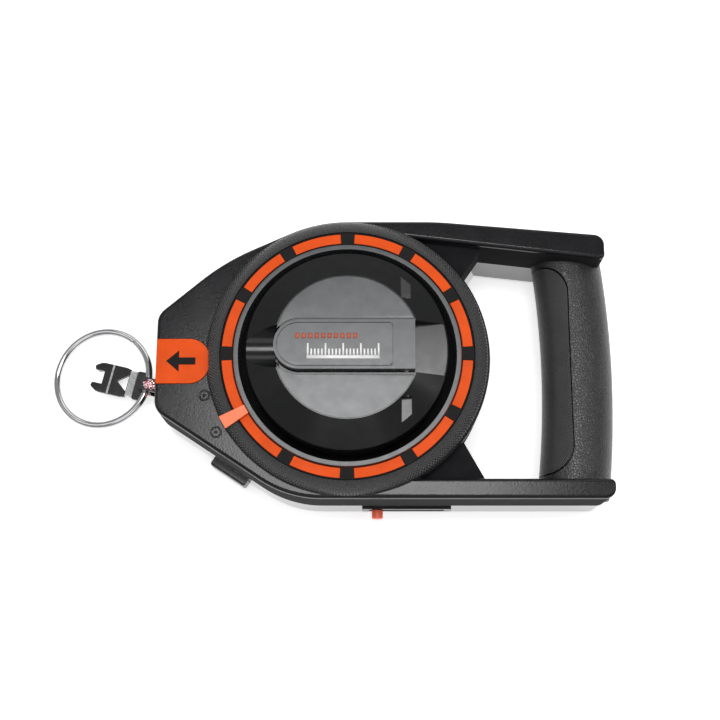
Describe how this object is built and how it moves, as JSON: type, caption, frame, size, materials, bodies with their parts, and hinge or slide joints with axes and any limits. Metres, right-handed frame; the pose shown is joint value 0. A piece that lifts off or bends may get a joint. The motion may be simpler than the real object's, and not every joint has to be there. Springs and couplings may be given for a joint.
{
  "type": "surveyor tape reel",
  "caption": "Closed-case surveyor's tape reel with a D handle, folding crank, geared rewind, lock ring, brake button and an end hook with a ring.",
  "frame": {"origin": "on the spool's axis at the flat rear face of the case", "axes": "+X towards the handle, +Y towards the upper rail, +Z out of the crank side"},
  "size_m": [0.3228, 0.1628, 0.0825],
  "materials": {
    "case_plastic": "black moulded nylon with fine grain",
    "gloss_shell": "polished black plastic",
    "rim_grey": "satin mid-grey plastic",
    "orange_plastic": "orange plastic",
    "tab_plastic": "light orange plastic",
    "mark_black": "black paint",
    "steel": "bright steel",
    "gear_brass": "brass",
    "acetal": "natural acetal",
    "grip_rubber": "soft rubber with a leather grain",
    "pad_rubber": "soft rubber with a fine diamond pattern",
    "hub_black": "smooth black plastic",
    "hub_satin": "satin dark grey plastic",
    "handle_satin": "satin dark grey plastic",
    "plate_film": "printed plate",
    "tape_yellow": "coated glass-fibre tape",
    "chrome_ring": "polished chrome",
    "clip_chrome": "polished chrome",
    "hook_black": "black painted steel",
    "sleeve_metal": "knurled steel",
    "red_plastic": "red plastic",
    "felt": "grey felt",
    "track_black": "polished black plastic"
  },
  "bodies": {
    "case": {"rear_shell": "gloss_shell", "front_shell": "case_plastic", "well_liner": "rim_grey", "nose_badge": "orange_plastic", "badge_mark": "mark_black", "case_screws": "steel", "grip_core": "grip_rubber", "finger_pad": "pad_rubber", "grip_rod": "steel", "axle": "steel", "ring_gear": "acetal", "ring_screws": "steel", "crank_bush": "gear_brass", "hub_screw": "steel", "slide_track": "track_black", "roller_pins": "steel", "mouth_insert": "clip_chrome", "wiper_felts": "felt", "brake_spring": "steel"},
    "spool": {"spool_core": "acetal", "rear_flange": "acetal", "ratchet_flange": "acetal", "tape_pack": "tape_yellow", "sun_gear": "gear_brass", "spool_bush": "gear_brass"},
    "crank": {"planet_carrier": "steel", "planet_pins": "steel", "pin_clips": "steel", "carrier_screws": "steel", "crank_hub": "hub_black", "hub_cheeks": "hub_satin", "hinge_pin": "steel"},
    "planet_a": {"planet_gear_1": "gear_brass"},
    "planet_b": {"planet_gear_2": "gear_brass"},
    "planet_c": {"planet_gear_3": "gear_brass"},
    "fold_handle": {"crank_handle": "handle_satin", "handle_plate": "plate_film"},
    "lock": {"bezel_ring": "hub_black", "lock_ring": "orange_plastic", "lock_tab": "tab_plastic"},
    "bolt": {"lock_bolt": "steel", "bolt_pin": "steel"},
    "button": {"brake_button": "track_black", "brake_shoe": "grip_rubber"},
    "slider": {"slider_knob": "red_plastic", "slider_plate": "acetal"},
    "roller_a": {"guide_roller_1": "acetal"},
    "roller_b": {"guide_roller_2": "acetal"},
    "tape_end": {"tape_lead": "tape_yellow", "end_clip": "clip_chrome", "clip_rivets": "steel", "eye_pin": "steel"},
    "hook": {"hook_root": "hook_black", "hook_sleeve": "sleeve_metal", "hook_blade": "hook_black", "hook_bar": "sleeve_metal"},
    "ring": {"end_ring": "chrome_ring"}
  },
  "joints": [
    {"name": "spool_spin", "type": "hinge", "parent": "case", "child": "spool", "pos_m": [0, 0, 0], "axis": [0, 0, 1], "continuous": true},
    {"name": "crank_spin", "type": "hinge", "parent": "case", "child": "crank", "pos_m": [0, 0, 0], "axis": [0, 0, 1], "continuous": true},
    {"name": "planet_a_spin", "type": "hinge", "parent": "crank", "child": "planet_a", "pos_m": [0.027, 0, 0.0318], "axis": [0, 0, 1], "continuous": true},
    {"name": "planet_b_spin", "type": "hinge", "parent": "crank", "child": "planet_b", "pos_m": [-0.0135, 0.02338, 0.0318], "axis": [0, 0, 1], "continuous": true},
    {"name": "planet_c_spin", "type": "hinge", "parent": "crank", "child": "planet_c", "pos_m": [-0.0135, -0.02338, 0.0318], "axis": [0, 0, 1], "continuous": true},
    {"name": "handle_fold", "type": "hinge", "parent": "crank", "child": "fold_handle", "pos_m": [0.0316, 0, 0.075], "axis": [0, 1, 0], "range_deg": [0, 90]},
    {"name": "lock_turn", "type": "hinge", "parent": "case", "child": "lock", "pos_m": [0, 0, 0.056], "axis": [0, 0, 1], "range_deg": [-13.5, 0]},
    {"name": "bolt_slide", "type": "slide", "parent": "case", "child": "bolt", "axis": [0.4226, 0.9063, 0], "range_m": [0, 0.00241]},
    {"name": "button_press", "type": "slide", "parent": "case", "child": "button", "axis": [0.55, 0.8352, 0], "range_m": [0, 0.0024], "stiffness_N_per_m": 800, "deforming": ["brake_spring"]},
    {"name": "slider_move", "type": "slide", "parent": "case", "child": "slider", "axis": [1, 0, 0], "range_m": [0, 0.032]},
    {"name": "roller_a_spin", "type": "hinge", "parent": "case", "child": "roller_a", "pos_m": [-0.07872, -0.0254, 0.015], "axis": [0, 0, 1], "continuous": true},
    {"name": "roller_b_spin", "type": "hinge", "parent": "case", "child": "roller_b", "pos_m": [-0.07594, -0.01832, 0.015], "axis": [0, 0, 1], "continuous": true},
    {"name": "tape_pull", "type": "slide", "parent": "case", "child": "tape_end", "axis": [-0.9309, 0.3653, 0], "range_m": [0, 0.04]},
    {"name": "hook_swing", "type": "hinge", "parent": "tape_end", "child": "hook", "pos_m": [-0.11059, -0.00881, 0.015], "axis": [0, 0, 1], "range_deg": [-26, 48]},
    {"name": "ring_flip", "type": "hinge", "parent": "hook", "child": "ring", "pos_m": [-0.11632, -0.00744, 0.0129], "axis": [0.2322, 0.9727, 0], "range_deg": [0, 100]}
  ],
  "couplings": [
    {"joint": "crank_spin", "follows": "spool_spin", "ratio": 0.33333},
    {"joint": "planet_a_spin", "follows": "spool_spin", "ratio": -1.3333},
    {"joint": "planet_b_spin", "follows": "spool_spin", "ratio": -1.3333},
    {"joint": "planet_c_spin", "follows": "spool_spin", "ratio": -1.3333},
    {"joint": "bolt_slide", "follows": "lock_turn", "m_per_rad": -0.010186}
  ]
}
